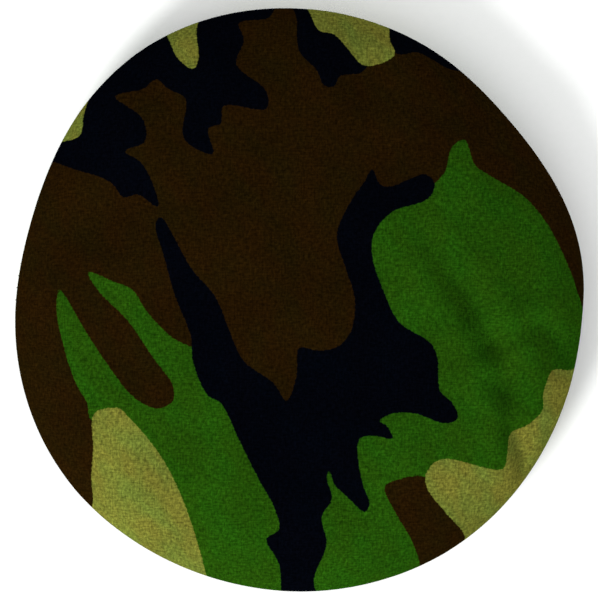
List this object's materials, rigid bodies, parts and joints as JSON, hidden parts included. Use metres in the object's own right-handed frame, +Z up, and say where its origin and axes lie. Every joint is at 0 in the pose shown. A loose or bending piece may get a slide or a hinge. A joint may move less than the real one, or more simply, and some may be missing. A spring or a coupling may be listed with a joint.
{
  "type": "training bumper",
  "caption": "Soft round cloth disc for dog retrieve training: two sewn camouflage twill panels, filled with loose floating granules in a plain inner bag.",
  "frame": {"origin": "centre of the flat patch under the disc, in the resting plane", "axes": "+Z up through the thickness, towards the printed top panel; +Y towards the top of the print"},
  "size_m": [0.2275, 0.2333, 0.046],
  "materials": {
    "cover_cloth": "matte",
    "cover_thread": "matte",
    "liner_cloth": "matte",
    "liner_thread": "matte",
    "granules": "matte"
  },
  "bodies": {
    "root": {"top_panel": "cover_cloth", "bottom_panel": "cover_cloth", "rim_seam_thread": "cover_thread", "edge_overlock_thread": "cover_thread", "closing_seam_thread": "cover_thread", "liner_top": "liner_cloth", "liner_bottom": "liner_cloth", "liner_seam_thread": "liner_thread", "granule_fill": "granules"}
  },
  "joints": []
}
